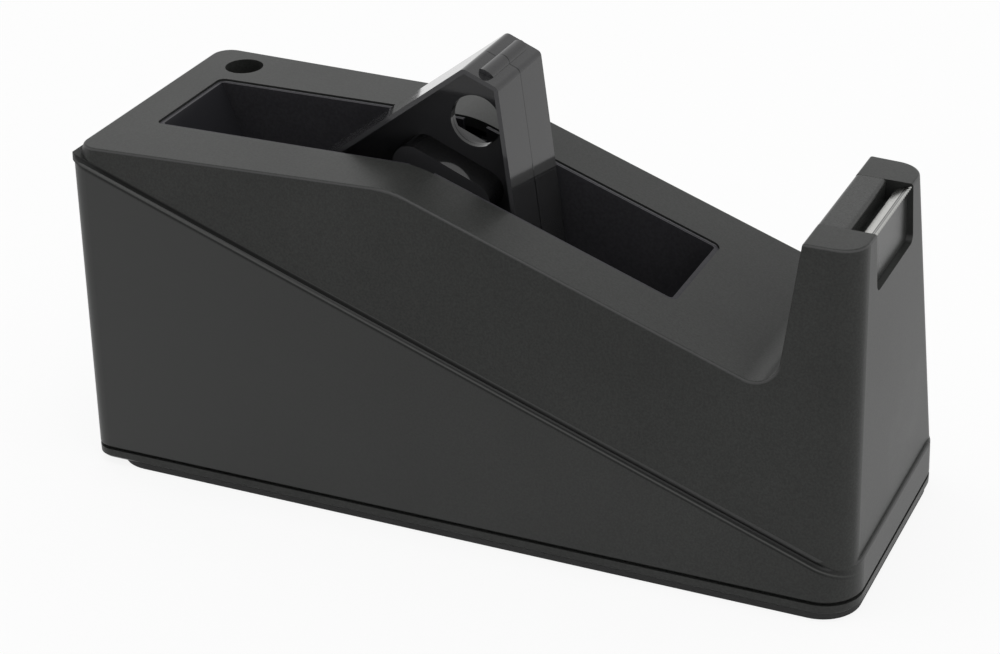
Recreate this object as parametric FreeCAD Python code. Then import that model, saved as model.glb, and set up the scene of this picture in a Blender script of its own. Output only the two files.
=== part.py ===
import FreeCAD, Part
import math
import os
from FreeCAD import Vector

# Weighted desk tape dispenser: a moulded body with a tape well, a lift-out three-sided hub and a
# serrated cutter in the tower at its front.  Millimetres, +X towards the cutter, +Z up, origin on
# the desk under the middle of the foot.

os.makedirs("parts", exist_ok=True)

# Body outline
BODY_LENGTH = 200.0          # foot, along X
BODY_WIDTH = 73.0            # foot, along Y
DECK_HEIGHT = 87.0           # flat part of the deck above the desk; tower, skirt and hub go by it
DECK_BACK_INSET = 4.0        # from the foot's back to the deck's back edge
DECK_FLAT_LENGTH = 81.5      # from the deck's back edge to the bend
DECK_SLOPE = 20.2            # degrees, falling towards the tower
DECK_BEND_RADIUS = 25.0
SKIRT_BACK_DROP = 1.7        # below the deck, where the skirt's sloping top edge meets the back
FRONT_LEDGE_HEIGHT = 14.0    # the skirt's top across the front
FRONT_LEDGE_RUN = 6.2123     # where the skirt's edge is level, from the foot's front
SKIRT_STEP = 1.07            # from the skirt's face in to the foot of the leaning walls
SKIRT_BEAD_RADIUS = 0.8
SKIRT_SIDE_DRAFT = 0.2       # degrees
SKIRT_END_DRAFT = 1.2        # degrees
WALL_LEAN = 8.1              # degrees, the side walls above the skirt
COLLAR_FLARE = 0.27          # splay of the collar that joins the walls to the skirt
COLLAR_HEIGHT = 1.1
BACK_CORNER_RADIUS = 5.0
FRONT_CORNER_RADIUS = 9.6    # of the skirt
TOWER_CORNER_RADIUS = 6.5
EDGE_RADIUS = 0.7
WALL = 2.5

# Tower
TOWER_RISE = 0.9             # the tower's top above the flat deck
TOWER_TOP_DEPTH = 13.4
TOWER_TOP_FALL = 1.6         # degrees, falling towards the front
TOWER_FRONT_LEAN = 2.77      # degrees
TOWER_BACK_LEAN = 5.8        # degrees
TOWER_FOOT_RADIUS = 6.0

# Foot
PAD_THICKNESS = 1.6
PAD_SIDE_INSET = 0.8
PAD_BACK_INSET = 4.5
BASE_THICKNESS = 2.6
BASE_EDGE_CHAMFER = 0.8
SHADOW_GAP = 1.0             # height of the groove between the base and the skirt
SHADOW_GAP_DEPTH = 1.0
BASE_LIP_WIDTH = 1.6         # upright rim that keeps the body from sliding on the base
BASE_LIP_HEIGHT = 4.0
LOCATING_GAP = 0.15

# Tape well and hub
HUB_SHARE = 0.5307           # of the slot's length, from its back to the hub's axis
HUB_AXIS_DROP = 11.4         # below the flat deck
HUB_APEX_ANGLE = 66.8        # degrees from +X to the corner that stands uppermost at rest
CORE_RADIUS = 38.2           # over the ridges, for a three-inch core
HUB_WIDTH = 24.66
HUB_CORNER_CUT = 8.1         # from each flat out to where the hub's sides would meet
HUB_CORNER_RADIUS = 1.6
HUB_RIM = 1.1
HUB_WEB = 1.2
BOSS_WIDTH = 18.08
BOSS_FLAT_RADIUS = 9.75      # from the axis to the flats of the three-sided boss
BOSS_CORNER_RADIUS = 4.9
WEB_HOLE_RADIUS = 6.5
WEB_HOLE_OFFSET = 19.7
RIDGE_RADIUS = 2.1
RIDGE_HEIGHT = 1.3           # above the flat
RIDGE_LENGTH = 20.4
TAB_WIDTH = 3.0              # moulded tabs that join the hub's halves inside the boss
TAB_THICKNESS = 1.4
TAB_OFFSET = 6.8
TAB_LENGTH = 4.0
AXLE_RADIUS = 3.0
AXLE_END_PLAY = 0.1          # at each end, in the well's notches
RUNNING_CLEARANCE = 0.05
SLOT_BACK = 14.5             # from the foot's back to the slot
SLOT_FRONT = 50.4            # from the foot's front to the slot
SLOT_HALF_WIDTH = 15.7
SLOT_CORNER_RADIUS = 2.0
WELL_GAP = 0.2               # between the slot's edge and the well
WELL_DROP = 0.5              # the well's rim below the deck
WELL_WALL = 1.1
WELL_FLOOR_GAP = 0.7         # above the ballast plate
WELL_END_GAP = 0.6           # the floor's round passes this far inside the ends of the rim
WELL_INNER_RADIUS = 0.9
CRADLE_LENGTH = 14.0
CRADLE_THICKNESS = 2.4
CRADLE_DEPTH = 10.0          # below the hub's axis
EAR_REACH = 4.5              # screw centres beyond each end of the well
EAR_HALF_WIDTH = 3.6
EAR_THICKNESS = 2.5
EAR_DROP = 8.5               # the ear's top below the deck

# Pen hole
PEN_HOLE_BACK = 16.2         # from the foot's back
PEN_HOLE_SHIFT = 0.665       # towards the slot, from midway between the slot and the wall
PEN_HOLE_RADIUS = 4.9
PEN_HOLE_DEPTH = 60.0
PEN_TUBE_WALL = 1.6          # square outside, thinnest beside the hole

# Cutter
CUTTER_HALF_WIDTH = 14.2     # opening between the tower's cheeks
CUTTER_GAP = 0.1
CUTTER_SINK = 0.4            # the landing below the cheeks
WINDOW_DEPTH = 14.5          # from the tower's top to the bottom of the window in front
WINDOW_CORNER_RADIUS = 2.0
PANEL_RECESS = 2.9           # the panel under the blade, behind the front face
CUTTER_APRON = 6.0           # the landing's lip over the tower's back
LANDING_DEPTH = 7.2
TROUGH_WIDTH = 2.2
TROUGH_DEPTH = 5.5
RIB_THICKNESS = 1.05
BLADE_THICKNESS = 0.4
BLADE_REACH = 3.4            # from the rib's back to the points of the teeth
BLADE_RISE = 1.1
BLADE_HOOK = 2.8
TOOTH_PITCH = 1.2
TOOTH_DEPTH = 0.8

# Ballast
BALLAST_THICKNESS = 6.0
BALLAST_BACK = 26.0          # from the foot's back
BALLAST_SIDE_GAP = 1.2       # inside the base plate's lip
BALLAST_SPACING = 4.0        # between the plate and the block
BLOCK_FRONT = 8.0            # from the foot's front
BLOCK_LENGTH = 38.0
BLOCK_POST_GAP = 3.8         # between the block and the screw posts beside it
BLOCK_HEIGHT = 29.0

# Screws
POST_HALF_WIDTH = 3.8        # square posts in the body
POST_FRONT = 40.0            # front pair, from the foot's front
POST_SIDE = 10.5             # front pair, from the foot's side
SCREW_RADIUS = 1.5
SCREW_LENGTH = 12.0
WELL_SCREW_LENGTH = 8.0
SCREW_HEAD_RADIUS = 3.0
SCREW_HEAD_HEIGHT = 1.3
SCREW_GAP = 0.05
SEAT_DEPTH = 1.5             # square recess for each head
SEAT_GAP = 0.3

# Derived places
HALF_LENGTH = BODY_LENGTH / 2
HALF_WIDTH = BODY_WIDTH / 2
SLOPE = math.tan(math.radians(DECK_SLOPE))
LEAN = math.tan(math.radians(WALL_LEAN))
END_DRAFT = math.tan(math.radians(SKIRT_END_DRAFT))
SIDE_DRAFT = math.tan(math.radians(SKIRT_SIDE_DRAFT))
TOWER_HEIGHT = DECK_HEIGHT + TOWER_RISE
SKIRT_BACK_HEIGHT = DECK_HEIGHT - SKIRT_BACK_DROP
SKIRT_SLOPE = (SKIRT_BACK_HEIGHT - FRONT_LEDGE_HEIGHT) / (BODY_LENGTH - FRONT_LEDGE_RUN)
LEDGE_X = HALF_LENGTH - FRONT_LEDGE_RUN
BASE_TOP = PAD_THICKNESS + BASE_THICKNESS
SHELL_BOTTOM = BASE_TOP + SHADOW_GAP
UPPER_HALF_WIDTH = HALF_WIDTH - SKIRT_STEP
WELL_HALF_WIDTH = SLOT_HALF_WIDTH - WELL_GAP
SLOT_BACK_X = SLOT_BACK - HALF_LENGTH
SLOT_FRONT_X = HALF_LENGTH - SLOT_FRONT
WELL_BACK_X = SLOT_BACK_X + WELL_GAP
WELL_FRONT_X = SLOT_FRONT_X - WELL_GAP
HUB_AXIS_X = SLOT_BACK_X + HUB_SHARE * (SLOT_FRONT_X - SLOT_BACK_X)
HUB_AXIS_HEIGHT = DECK_HEIGHT - HUB_AXIS_DROP
HUB_FLAT_RADIUS = CORE_RADIUS - RIDGE_HEIGHT
HUB_APEX_RADIUS = HUB_FLAT_RADIUS + HUB_CORNER_CUT
PEN_HOLE_X = PEN_HOLE_BACK - HALF_LENGTH
PEN_HOLE_Y = (SLOT_HALF_WIDTH + UPPER_HALF_WIDTH) / 2 - PEN_HOLE_SHIFT
POST_FRONT_X = HALF_LENGTH - POST_FRONT
POST_FRONT_Y = HALF_WIDTH - POST_SIDE
BALLAST_TOP = SHELL_BOTTOM + BALLAST_THICKNESS
BLOCK_BACK_X = HALF_LENGTH - BLOCK_FRONT - BLOCK_LENGTH
WINDOW_BOTTOM = TOWER_HEIGHT - WINDOW_DEPTH
SEAT_Z = PAD_THICKNESS + SEAT_DEPTH
SEAT_HALF_WIDTH = SCREW_HEAD_RADIUS + SEAT_GAP
BLADE_ANGLE = math.atan2(BLADE_RISE, BLADE_REACH)
RIB_TOP = TOWER_HEIGHT - CUTTER_SINK - BLADE_RISE - 2 * BLADE_THICKNESS


def deck_z(x):
    """Height of the deck, without the rounding of its bend."""
    bend = DECK_BACK_INSET + DECK_FLAT_LENGTH - HALF_LENGTH
    return DECK_HEIGHT - max(x - bend, 0.0) * SLOPE


def skirt_z(x):
    """Height of the skirt's sloping top edge."""
    return SKIRT_BACK_HEIGHT - (x + HALF_LENGTH) * SKIRT_SLOPE


def front_x(z):
    """The tower's leaning front face."""
    return HALF_LENGTH - SKIRT_STEP - (z - FRONT_LEDGE_HEIGHT) * math.tan(math.radians(TOWER_FRONT_LEAN))


def tower_back_x(z):
    """The tower's back face, leaning over the deck."""
    top_front = TOWER_HEIGHT - TOWER_TOP_DEPTH * math.tan(math.radians(TOWER_TOP_FALL))
    top_back = front_x(top_front) - TOWER_TOP_DEPTH
    return top_back - (TOWER_HEIGHT - z) * math.tan(math.radians(TOWER_BACK_LEAN))


def tower_top_z(x):
    """The tower's top, falling a little towards the front."""
    return TOWER_HEIGHT - (x - tower_back_x(TOWER_HEIGHT)) * math.tan(math.radians(TOWER_TOP_FALL))


# Outlines are lists of corners (a, b, radius) taken anticlockwise.

def corner_frame(corners, i):
    """Corner i with the unit directions of the sides that enter and leave it."""
    ax, ay = corners[i - 1][:2]
    bx, by, radius = corners[i]
    cx, cy = corners[(i + 1) % len(corners)][:2]
    enter = Vector(bx - ax, by - ay, 0).normalize()
    leave = Vector(cx - bx, cy - by, 0).normalize()
    return Vector(bx, by, 0), enter, leave, radius


def inset_outline(corners, inset):
    """The same outline with every side moved inwards; rounded corners stay concentric."""
    moved = []
    for i in range(len(corners)):
        corner, enter, leave, radius = corner_frame(corners, i)
        turn = enter.x * leave.y - enter.y * leave.x
        on_enter = corner + Vector(-enter.y, enter.x, 0) * inset
        on_leave = corner + Vector(-leave.y, leave.x, 0) * inset
        gap = on_leave - on_enter
        along = (gap.x * leave.y - gap.y * leave.x) / turn
        point = on_enter + enter * along
        if radius > 0:
            radius = max(radius - math.copysign(inset, turn), 0.0)
        moved.append((point.x, point.y, radius))
    return moved


def outline_wire(corners, place):
    """Closed wire of straight sides and tangent corner arcs; place turns (a, b) into a point."""
    stops = []
    for i in range(len(corners)):
        corner, enter, leave, radius = corner_frame(corners, i)
        if radius <= 0:
            stops.append((corner, None, corner))
            continue
        half_turn = enter.getAngle(leave) / 2
        start = corner - enter * (radius * math.tan(half_turn))
        end = corner + leave * (radius * math.tan(half_turn))
        inward = (leave - enter).normalize()
        middle = corner + inward * (radius / math.cos(half_turn) - radius)
        stops.append((start, middle, end))
    edges = []
    for i in range(len(stops)):
        start, middle, end = stops[i]
        if middle is not None:
            edges.append(Part.Arc(place(start), place(middle), place(end)).toShape())
        following = stops[(i + 1) % len(stops)][0]
        if (following - end).Length > 1e-6:
            edges.append(Part.LineSegment(place(end), place(following)).toShape())
    return Part.Wire(edges)


def prism(corners, across, start, end):
    """Solid of an outline drawn square to the axis named by across, from start to end along it."""
    if across == "X":
        wire = outline_wire(corners, lambda p: Vector(start, p.x, p.y))
        path = Vector(end - start, 0, 0)
    elif across == "Y":
        wire = outline_wire(corners, lambda p: Vector(p.x, start, p.y))
        path = Vector(0, end - start, 0)
    else:
        wire = outline_wire(corners, lambda p: Vector(p.x, p.y, start))
        path = Vector(0, 0, end - start)
    return Part.Face(wire).extrude(path)


def loft(lower, lower_z, upper, upper_z):
    """Drafted solid between two plan outlines."""
    low = outline_wire(lower, lambda p: Vector(p.x, p.y, lower_z))
    high = outline_wire(upper, lambda p: Vector(p.x, p.y, upper_z))
    return Part.makeLoft([low, high], True, True)


def rectangle(x0, x1, y0, y1, radius=0.0):
    return [(x0, y0, radius), (x1, y0, radius), (x1, y1, radius), (x0, y1, radius)]


def foot_outline(z, inset=0.0):
    """Plan of the skirt at a height: rounder corners at the front than at the back."""
    side = HALF_WIDTH - z * SIDE_DRAFT
    back = z * END_DRAFT - HALF_LENGTH
    front = HALF_LENGTH - z * END_DRAFT
    corners = [
        (back, -side, BACK_CORNER_RADIUS),
        (front, -side, FRONT_CORNER_RADIUS),
        (front, side, FRONT_CORNER_RADIUS),
        (back, side, BACK_CORNER_RADIUS),
    ]
    return inset_outline(corners, inset) if inset else corners


def edges_near(shape, test):
    """Edges whose middle point passes the test."""
    found = []
    for edge in shape.Edges:
        first, last = edge.ParameterRange
        if test(edge.valueAt((first + last) / 2)):
            found.append(edge)
    return found


def cylinder(radius, x, y, z0, z1):
    return Part.makeCylinder(radius, z1 - z0, Vector(x, y, z0))


def cross_cylinder(radius, x, z, y0, y1):
    return Part.makeCylinder(radius, y1 - y0, Vector(x, y0, z), Vector(0, 1, 0))


def box(x0, x1, y0, y1, z0, z1):
    return Part.makeBox(x1 - x0, y1 - y0, z1 - z0, Vector(x0, y0, z0))


def side_profile():
    """The body's outline above the skirt, seen from the side, from the skirt's edge upwards."""
    sink = SKIRT_STEP / 2
    back_foot = -HALF_LENGTH + SKIRT_BACK_HEIGHT * END_DRAFT + SKIRT_STEP
    foot_slope = math.tan(math.radians(TOWER_BACK_LEAN))
    # where the tower's back face meets the falling deck
    bend = DECK_BACK_INSET + DECK_FLAT_LENGTH - HALF_LENGTH
    reach = tower_back_x(DECK_HEIGHT) - bend
    foot_x = bend + reach / (1 + SLOPE * foot_slope)
    front_top = tower_top_z(tower_back_x(TOWER_HEIGHT) + TOWER_TOP_DEPTH)
    return [
        (back_foot, skirt_z(back_foot) - sink, 0.0),
        (LEDGE_X, FRONT_LEDGE_HEIGHT - sink, 0.0),
        (front_x(FRONT_LEDGE_HEIGHT - sink), FRONT_LEDGE_HEIGHT - sink, 0.0),
        (front_x(front_top), front_top, 0.0),
        (tower_back_x(TOWER_HEIGHT), TOWER_HEIGHT, 0.0),
        (foot_x, deck_z(foot_x), TOWER_FOOT_RADIUS),
        (bend, DECK_HEIGHT, DECK_BEND_RADIUS),
        (DECK_BACK_INSET - HALF_LENGTH, DECK_HEIGHT, 0.0),
    ]


def leaning_walls(inset, flare=0.0):
    """Prism along the skirt's edge whose sides lean inwards as they rise, splayed at the foot."""
    start = -HALF_LENGTH - 20
    length = BODY_LENGTH + 40
    low = -8.0
    high = 120.0
    lean = LEAN + flare / COLLAR_HEIGHT
    half = UPPER_HALF_WIDTH + flare - inset * math.sqrt(1 + LEAN * LEAN)
    z = skirt_z(start)
    section = [
        Vector(start, -(half - low * lean), z + low),
        Vector(start, half - low * lean, z + low),
        Vector(start, half - high * lean, z + high),
        Vector(start, -(half - high * lean), z + high),
    ]
    face = Part.Face(Part.makePolygon(section + section[:1]))
    return face.extrude(Vector(length, 0, -length * SKIRT_SLOPE))


def upper_form():
    """Everything above the skirt: deck, tower and the walls that lean in."""
    form = prism(side_profile(), "Y", -HALF_WIDTH - 5, HALF_WIDTH + 5)
    form = form.common(leaning_walls(0.0))
    top_front = tower_top_z(front_x(TOWER_HEIGHT))

    def back_corner(p):
        return p.x < -HALF_LENGTH + DECK_BACK_INSET and abs(p.y) > UPPER_HALF_WIDTH - 2

    def front_corner(p):
        return p.x > front_x(top_front) - 0.5 and abs(p.y) > 15 and 20 < p.z < top_front - 5

    form = form.makeFillet(BACK_CORNER_RADIUS, edges_near(form, back_corner))
    form = form.makeFillet(TOWER_CORNER_RADIUS, edges_near(form, front_corner))

    def deck_edge(p):
        side = abs(p.y) > 20 and p.z > skirt_z(p.x) + EDGE_RADIUS and p.z > FRONT_LEDGE_HEIGHT + 10
        upright = front_x(p.z) - p.x < TOWER_CORNER_RADIUS and p.z < top_front - 5
        back = p.x < -HALF_LENGTH + DECK_BACK_INSET + 0.1 and p.z > DECK_HEIGHT - 0.1
        return (side and not upright and p.z > deck_z(p.x) - 3) or back

    def tower_top_edge(p):
        return abs(p.y) < 1 and p.z > top_front - 0.1 and p.x > 0

    rim = edges_near(form, deck_edge) + edges_near(form, tower_top_edge)
    return form.makeFillet(EDGE_RADIUS, rim)


def skirt_form():
    """The drafted foot moulding with its rounded sloping top edge."""
    back_top = SKIRT_BACK_HEIGHT * END_DRAFT - HALF_LENGTH
    side = [
        (SHELL_BOTTOM * END_DRAFT - HALF_LENGTH, SHELL_BOTTOM, 0.0),
        (HALF_LENGTH - SHELL_BOTTOM * END_DRAFT, SHELL_BOTTOM, 0.0),
        (HALF_LENGTH - FRONT_LEDGE_HEIGHT * END_DRAFT, FRONT_LEDGE_HEIGHT, 0.0),
        (LEDGE_X, FRONT_LEDGE_HEIGHT, FRONT_CORNER_RADIUS),
        (back_top, skirt_z(back_top), 0.0),
    ]
    low = HALF_WIDTH - SHELL_BOTTOM * SIDE_DRAFT
    high = HALF_WIDTH - DECK_HEIGHT * SIDE_DRAFT
    ends = [(-low, SHELL_BOTTOM, 0.0), (low, SHELL_BOTTOM, 0.0), (high, DECK_HEIGHT, 0.0),
            (-high, DECK_HEIGHT, 0.0)]
    form = prism(side, "Y", -HALF_WIDTH - 5, HALF_WIDTH + 5)
    form = form.common(prism(ends, "X", -HALF_LENGTH - 5, HALF_LENGTH + 5))

    def upright(p):
        return abs(p.x) > HALF_LENGTH - SKIRT_BACK_HEIGHT * END_DRAFT - 0.1 and abs(p.y) > high - 0.1

    back = edges_near(form, lambda p: upright(p) and p.x < 0)
    form = form.makeFillet(BACK_CORNER_RADIUS, back)
    front = edges_near(form, lambda p: upright(p) and p.x > 0)
    form = form.makeFillet(FRONT_CORNER_RADIUS, front)

    def top_edge(p):
        across = abs(p.y) < 1 and -HALF_LENGTH + 5 < p.x < HALF_LENGTH - 3
        return p.z > FRONT_LEDGE_HEIGHT - 0.3 and not across and p.z > skirt_z(p.x) - 0.3

    return form.makeFillet(SKIRT_BEAD_RADIUS, edges_near(form, top_edge))


def collar_form():
    """Low splayed band behind the skirt's rounded edge, where the leaning walls rise from it."""
    sink = SKIRT_STEP
    level = FRONT_LEDGE_HEIGHT + COLLAR_HEIGHT
    back = SKIRT_BACK_HEIGHT * END_DRAFT - HALF_LENGTH + SKIRT_STEP
    side = [
        (back - COLLAR_FLARE, skirt_z(back) - sink, 0.0),
        (LEDGE_X, FRONT_LEDGE_HEIGHT - sink, 0.0),
        (front_x(FRONT_LEDGE_HEIGHT) + COLLAR_FLARE, FRONT_LEDGE_HEIGHT - sink, 0.0),
        (front_x(FRONT_LEDGE_HEIGHT) + COLLAR_FLARE, FRONT_LEDGE_HEIGHT, 0.0),
        (front_x(level), level, 0.0),
        (LEDGE_X, level, 0.0),
        (back, skirt_z(back) + COLLAR_HEIGHT, 0.0),
    ]
    form = prism(side, "Y", -HALF_WIDTH, HALF_WIDTH).common(leaning_walls(0.0, COLLAR_FLARE))
    plan = foot_outline(FRONT_LEDGE_HEIGHT, SKIRT_STEP - COLLAR_FLARE)
    return form.common(prism(plan, "Z", SHELL_BOTTOM, DECK_HEIGHT))


def cavity_form():
    """The hollow inside the body: plain walls below the skirt's edge, leaning ones above."""
    inner_profile = inset_outline(side_profile(), WALL)
    drop = 2 * WALL
    back, floor = inner_profile[0][:2]
    inner_profile[0] = (back, floor - 2 * drop, 0.0)
    inner_profile[1] = (inner_profile[1][0], inner_profile[1][1] - drop, 0.0)
    inner_profile[2] = (inner_profile[2][0], inner_profile[2][1] - drop, 0.0)
    upper = prism(inner_profile, "Y", -HALF_WIDTH, HALF_WIDTH).common(leaning_walls(WALL))
    outline = foot_outline(SHELL_BOTTOM, SKIRT_STEP + WALL)
    lower = prism(outline, "Z", SHELL_BOTTOM - 1, DECK_HEIGHT)
    reach = HALF_LENGTH + 5
    below = [
        (-reach, 0.0, 0.0),
        (reach, 0.0, 0.0),
        (reach, skirt_z(reach), 0.0),
        (-reach, skirt_z(-reach), 0.0),
    ]
    lower = lower.common(prism(below, "Y", -HALF_WIDTH, HALF_WIDTH))
    limit = prism(outline, "Z", SHELL_BOTTOM - 1, TOWER_HEIGHT)
    return lower.fuse(upper.common(limit))


def post_places():
    """Screw posts as (x, y, top): the back pair stands under the pen hole and opposite it."""
    return [
        (PEN_HOLE_X, -PEN_HOLE_Y, DECK_HEIGHT - WALL / 2),
        (PEN_HOLE_X, PEN_HOLE_Y, DECK_HEIGHT - PEN_HOLE_DEPTH - PEN_TUBE_WALL),
        (POST_FRONT_X, -POST_FRONT_Y, deck_z(POST_FRONT_X) - WALL),
        (POST_FRONT_X, POST_FRONT_Y, deck_z(POST_FRONT_X) - WALL),
    ]


def ear_places():
    """Well screws as (x, ear top), one beyond each end of the well."""
    return [(x, deck_z(x) - EAR_DROP) for x in (WELL_BACK_X - EAR_REACH, WELL_FRONT_X + EAR_REACH)]


def cutter_outline(gap):
    """Side outline of the cutter block; gap shrinks it inside its pocket in the tower."""
    inner = WALL + gap
    shoulder = TOWER_HEIGHT - CUTTER_APRON
    top = -CUTTER_SINK
    landing_front = tower_back_x(TOWER_HEIGHT) + LANDING_DEPTH
    trough_front = landing_front + TROUGH_WIDTH
    trough_floor = TOWER_HEIGHT - TROUGH_DEPTH
    rib_back = trough_front + BLADE_THICKNESS
    rib_front = rib_back + RIB_THICKNESS
    rib_front_top = RIB_TOP + RIB_THICKNESS * math.tan(BLADE_ANGLE)
    return [
        (tower_back_x(WINDOW_BOTTOM) + inner, WINDOW_BOTTOM, 0.0),
        (front_x(WINDOW_BOTTOM) - PANEL_RECESS, WINDOW_BOTTOM, 0.0),
        (rib_front, rib_front_top, 0.0),
        (rib_back, RIB_TOP, 0.0),
        (rib_back, trough_floor, 0.0),
        (landing_front, trough_floor, 0.8),
        (landing_front, tower_top_z(landing_front) + top, 1.0),
        (tower_back_x(TOWER_HEIGHT + top), TOWER_HEIGHT + top, 1.0),
        (tower_back_x(shoulder), shoulder + gap, 0.0),
        (tower_back_x(shoulder) + inner, shoulder + gap, 0.0),
    ]


def body_shell():
    """One-piece body: skirt, deck and tower, with the posts, pen tube and cutter pocket inside."""
    shell = upper_form().fuse(skirt_form()).fuse(collar_form())
    cavity = cavity_form()
    # the tower stays solid round the cutter pocket
    shelf = box(tower_back_x(DECK_HEIGHT) - 10, HALF_LENGTH, -CUTTER_HALF_WIDTH - WALL,
                CUTTER_HALF_WIDTH + WALL, WINDOW_BOTTOM - WALL, TOWER_HEIGHT)
    cavity = cavity.cut(shelf)
    for x, y, top in post_places():
        cavity = cavity.cut(box(x - POST_HALF_WIDTH, x + POST_HALF_WIDTH, y - POST_HALF_WIDTH,
                                y + POST_HALF_WIDTH, SHELL_BOTTOM - 2, top))
    for x, ear_top in ear_places():
        cavity = cavity.cut(box(x - EAR_HALF_WIDTH, x + EAR_HALF_WIDTH, -EAR_HALF_WIDTH, EAR_HALF_WIDTH,
                                ear_top, DECK_HEIGHT))
    tube_bottom = DECK_HEIGHT - PEN_HOLE_DEPTH - PEN_TUBE_WALL
    tube_half = PEN_HOLE_RADIUS + PEN_TUBE_WALL
    cavity = cavity.cut(box(PEN_HOLE_X - tube_half, PEN_HOLE_X + tube_half, PEN_HOLE_Y - tube_half,
                            PEN_HOLE_Y + tube_half, tube_bottom, DECK_HEIGHT))
    shell = shell.cut(cavity)

    slot = rectangle(SLOT_BACK_X, SLOT_FRONT_X, -SLOT_HALF_WIDTH, SLOT_HALF_WIDTH, SLOT_CORNER_RADIUS)
    shell = shell.cut(prism(slot, "Z", deck_z(SLOT_FRONT_X) - 2 * WALL, DECK_HEIGHT + 5))
    shell = shell.cut(cylinder(PEN_HOLE_RADIUS, PEN_HOLE_X, PEN_HOLE_Y,
                               DECK_HEIGHT - PEN_HOLE_DEPTH, DECK_HEIGHT + 5))

    # cutter pocket, open at the top, with the apron's notch through the back wall
    shoulder = TOWER_HEIGHT - CUTTER_APRON
    panel_x = front_x(WINDOW_BOTTOM) - PANEL_RECESS
    pocket = [
        (tower_back_x(WINDOW_BOTTOM) + WALL, WINDOW_BOTTOM, 0.0),
        (panel_x, WINDOW_BOTTOM, 0.0),
        (panel_x, TOWER_HEIGHT + 5, 0.0),
        (tower_back_x(TOWER_HEIGHT) - 5, TOWER_HEIGHT + 5, 0.0),
        (tower_back_x(TOWER_HEIGHT) - 5, shoulder, 0.0),
        (tower_back_x(shoulder) + WALL, shoulder, 0.0),
    ]
    shell = shell.cut(prism(pocket, "Y", -CUTTER_HALF_WIDTH, CUTTER_HALF_WIDTH))
    window = [
        (-CUTTER_HALF_WIDTH, WINDOW_BOTTOM, WINDOW_CORNER_RADIUS),
        (CUTTER_HALF_WIDTH, WINDOW_BOTTOM, WINDOW_CORNER_RADIUS),
        (CUTTER_HALF_WIDTH, TOWER_HEIGHT + 5, 0.0),
        (-CUTTER_HALF_WIDTH, TOWER_HEIGHT + 5, 0.0),
    ]
    shell = shell.cut(prism(window, "X", panel_x, HALF_LENGTH + 5))

    for x, y, top in post_places():
        shell = shell.cut(cylinder(SCREW_RADIUS + SCREW_GAP, x, y, SHELL_BOTTOM - 1,
                                   SHELL_BOTTOM + SCREW_LENGTH))
    for x, ear_top in ear_places():
        shell = shell.cut(cylinder(SCREW_RADIUS + SCREW_GAP, x, 0, ear_top - 1,
                                   ear_top + EAR_DROP - WALL))
    return shell


def well_radius():
    """Outside of the floor, about the hub's axis: clear of the ballast and of both ends of the rim."""
    above_ballast = HUB_AXIS_HEIGHT - BALLAST_TOP - WELL_FLOOR_GAP
    back = math.hypot(HUB_AXIS_X - WELL_BACK_X, DECK_HEIGHT - WELL_DROP - HUB_AXIS_HEIGHT)
    front = math.hypot(WELL_FRONT_X - HUB_AXIS_X, deck_z(WELL_FRONT_X) - WELL_DROP - HUB_AXIS_HEIGHT)
    return min(above_ballast, back - WELL_END_GAP, front - WELL_END_GAP)


def well_solid(inset, corner_radius, rim_lift):
    """The well's form, from its round floor up to the deck line lifted by rim_lift."""
    radius = well_radius() - inset
    half_width = WELL_HALF_WIDTH - inset
    centre = Vector(HUB_AXIS_X, 0, HUB_AXIS_HEIGHT)
    back_x = WELL_BACK_X + inset
    front_x = WELL_FRONT_X - inset
    back_rim = Vector(back_x, 0, DECK_HEIGHT - WELL_DROP)
    front_rim = Vector(front_x, 0, deck_z(front_x) - WELL_DROP)

    def touch(rim, side):
        """Where the end wall from the rim meets the round floor."""
        reach = rim - centre
        angle = math.atan2(reach.z, reach.x) + side * math.acos(radius / reach.Length)
        return centre + Vector(math.cos(angle), 0, math.sin(angle)) * radius

    # above the rim both ends run straight up, and the deck line cuts them off
    top = DECK_HEIGHT + 10
    corners = [touch(front_rim, -1), front_rim, Vector(front_x, 0, top), Vector(back_x, 0, top),
               back_rim, touch(back_rim, 1)]
    edges = [Part.Arc(corners[-1], centre + Vector(0, 0, -radius), corners[0]).toShape()]
    for first, second in zip(corners, corners[1:]):
        edges.append(Part.LineSegment(first, second).toShape())
    solid = Part.Face(Part.Wire(edges)).extrude(Vector(0, 2 * half_width, 0))
    solid.translate(Vector(0, -half_width, 0))
    plan = rectangle(back_x, front_x, -half_width, half_width, corner_radius)
    solid = solid.common(prism(plan, "Z", 0, top + 5))

    bend = DECK_BACK_INSET + DECK_FLAT_LENGTH - HALF_LENGTH
    lift = rim_lift - WELL_DROP
    under_deck = [
        (-HALF_LENGTH - 5, 0.0, 0.0),
        (HALF_LENGTH, 0.0, 0.0),
        (HALF_LENGTH, deck_z(HALF_LENGTH) + lift, 0.0),
        (bend, DECK_HEIGHT + lift, DECK_BEND_RADIUS),
        (-HALF_LENGTH - 5, DECK_HEIGHT + lift, 0.0),
    ]
    return solid.common(prism(under_deck, "Y", -HALF_WIDTH, HALF_WIDTH))


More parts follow.
